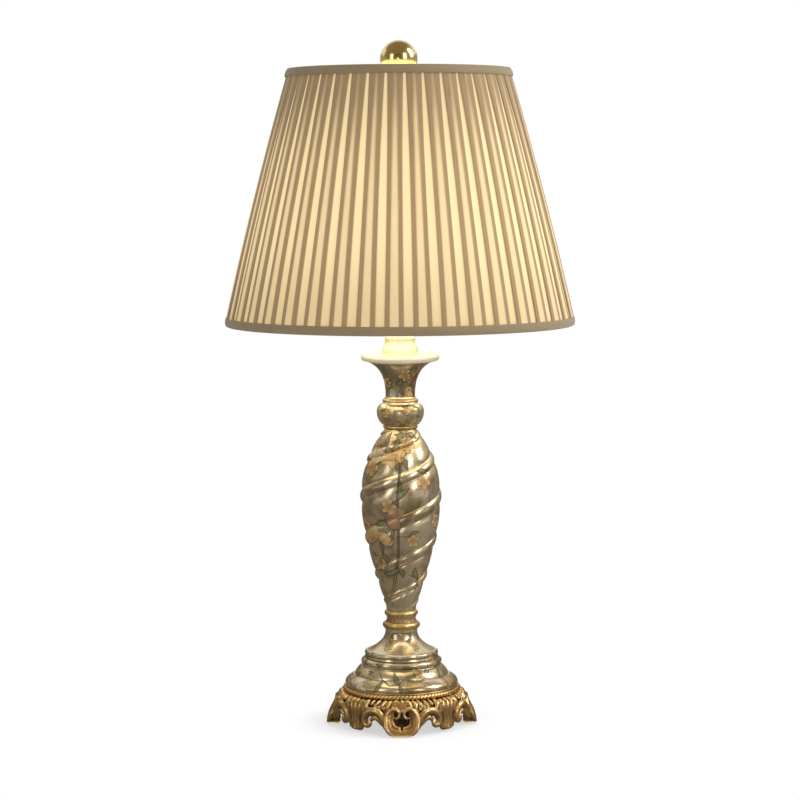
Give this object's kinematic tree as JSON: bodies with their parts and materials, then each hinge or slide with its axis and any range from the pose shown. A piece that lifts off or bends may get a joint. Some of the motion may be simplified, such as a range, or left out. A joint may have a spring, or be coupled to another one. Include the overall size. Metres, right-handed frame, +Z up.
{
  "type": "table lamp",
  "caption": "Table lamp with box-pleated tapered shade on a harp, twisted vase column, dished saucer, turned plinth and pierced scroll-foot casting.",
  "frame": {"origin": "on the lamp's vertical axis, in the plane that the feet stand on", "axes": "+Z up along the lamp's axis, -Y towards the front scroll foot, the harp lies in the XZ plane"},
  "size_m": [0.433, 0.433, 0.8498],
  "materials": {
    "gilt_casting": "antique gold with brown patina in the hollows",
    "gilt_turning": "antique gold",
    "champagne_resin": "pearly champagne lacquer with painted sprigs",
    "pale_gilt": "pale champagne gilt",
    "iron": "rough casting",
    "zinc_steel": "zinc plated",
    "black_plastic": "moulded",
    "brass": "lacquered",
    "fibre": "insulating fibre",
    "solder": "solder",
    "bulb_black_glass": "black glass",
    "bulb_metal": "bright",
    "frosted_glass": "frosted inside",
    "clear_glass": "clear",
    "pleated_cloth": "box pleated silk-like cloth",
    "lining_cloth": "stiff off-white lining",
    "trim_cloth": "folded bias trim",
    "finial_brass": "polished pale brass"
  },
  "bodies": {
    "column": {"foot_casting": "gilt_casting", "rope_moulding": "gilt_casting", "weight_plate": "iron", "plinth": "champagne_resin", "pedestal": "champagne_resin", "ring_collar": "gilt_turning", "twisted_vase": "champagne_resin", "vase_ring": "gilt_turning", "knop": "champagne_resin", "neck_collar": "pale_gilt", "trumpet_neck": "champagne_resin", "saucer": "pale_gilt", "neck_sleeve": "pale_gilt", "threaded_pipe": "zinc_steel", "bottom_washer": "zinc_steel", "bottom_nut": "zinc_steel", "cord_bushing": "black_plastic", "top_washer": "brass", "top_nut": "brass", "harp_saddle": "brass", "socket_cap": "brass", "cap_screw": "zinc_steel", "socket_shell": "brass", "socket_lining": "fibre", "screw_shell": "brass", "socket_core": "black_plastic", "centre_contact": "brass", "terminal_screws": "zinc_steel"},
    "switch": {"switch_shaft": "zinc_steel", "switch_knob": "black_plastic"},
    "bulb": {"bulb_contact": "solder", "bulb_insulator": "bulb_black_glass", "bulb_base": "bulb_metal", "bulb_glass": "frosted_glass", "bulb_stem": "clear_glass"},
    "harp": {"harp_wire": "brass", "harp_stud": "brass"},
    "left_ferrule": {"left_ferrule": "brass"},
    "right_ferrule": {"right_ferrule": "brass"},
    "hub_washer": {"hub_washer": "zinc_steel"},
    "shade": {"spider": "brass", "top_ring": "brass", "bottom_ring": "brass", "pleated_fabric": "pleated_cloth", "shade_lining": "lining_cloth", "top_trim": "trim_cloth", "bottom_trim": "trim_cloth"},
    "finial": {"finial_seat": "finial_brass", "finial_ball": "finial_brass"}
  },
  "joints": [
    {"name": "switch_turn", "type": "hinge", "parent": "column", "child": "switch", "pos_m": [0, -0.02, 0.5557], "axis": [0, -1, 0], "continuous": true},
    {"name": "bulb_turn", "type": "hinge", "parent": "column", "child": "bulb", "pos_m": [0, 0, 0.61], "axis": [0, 0, 1], "continuous": true},
    {"name": "harp_lift", "type": "slide", "parent": "column", "child": "harp", "axis": [0, 0, 1], "range_m": [0, 0.025]},
    {"name": "left_ferrule_slide", "type": "slide", "parent": "harp", "child": "left_ferrule", "axis": [0, 0, 1], "range_m": [0, 0.012]},
    {"name": "right_ferrule_slide", "type": "slide", "parent": "harp", "child": "right_ferrule", "axis": [0, 0, 1], "range_m": [0, 0.012]},
    {"name": "shade_lift", "type": "slide", "parent": "harp", "child": "hub_washer", "axis": [0, 0, 1], "range_m": [0, 0.33]},
    {"name": "shade_turn", "type": "hinge", "parent": "hub_washer", "child": "shade", "pos_m": [0, 0, 0.801], "axis": [0, 0, 1], "continuous": true},
    {"name": "finial_turn", "type": "hinge", "parent": "hub_washer", "child": "finial", "pos_m": [0, 0, 0.808], "axis": [0, 0, 1], "continuous": true}
  ]
}
